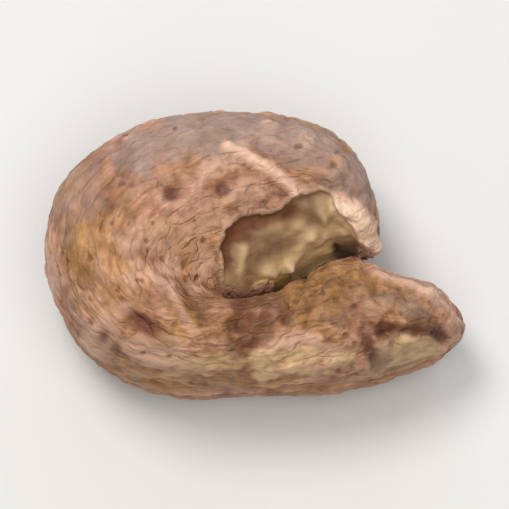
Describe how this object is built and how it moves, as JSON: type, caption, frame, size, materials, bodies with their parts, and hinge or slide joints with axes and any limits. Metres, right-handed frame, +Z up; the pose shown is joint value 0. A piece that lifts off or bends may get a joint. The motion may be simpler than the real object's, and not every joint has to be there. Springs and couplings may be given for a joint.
{
  "type": "roasted cashew nut",
  "caption": "Whole roasted cashew kernel with its wrinkled skin on: a thick curled bend, a short arm hooked over a narrow notch and a longer rounded arm.",
  "frame": {"origin": "on the surface that the nut rests on, under the middle of its bounding box", "axes": "+Z up, through the thin way of the nut as it lies on its broad side; +X the long way, from the thick bend towards the open end of the notch; +Y towards the short arm"},
  "size_m": [0.026, 0.0176, 0.0125],
  "materials": {
    "nut_skin": "dry roasted testa, tan to reddish brown, wrinkled and slightly waxy, torn to the cream kernel along the notch"
  },
  "bodies": {
    "root": {"cashew_nut": "nut_skin"}
  },
  "joints": []
}
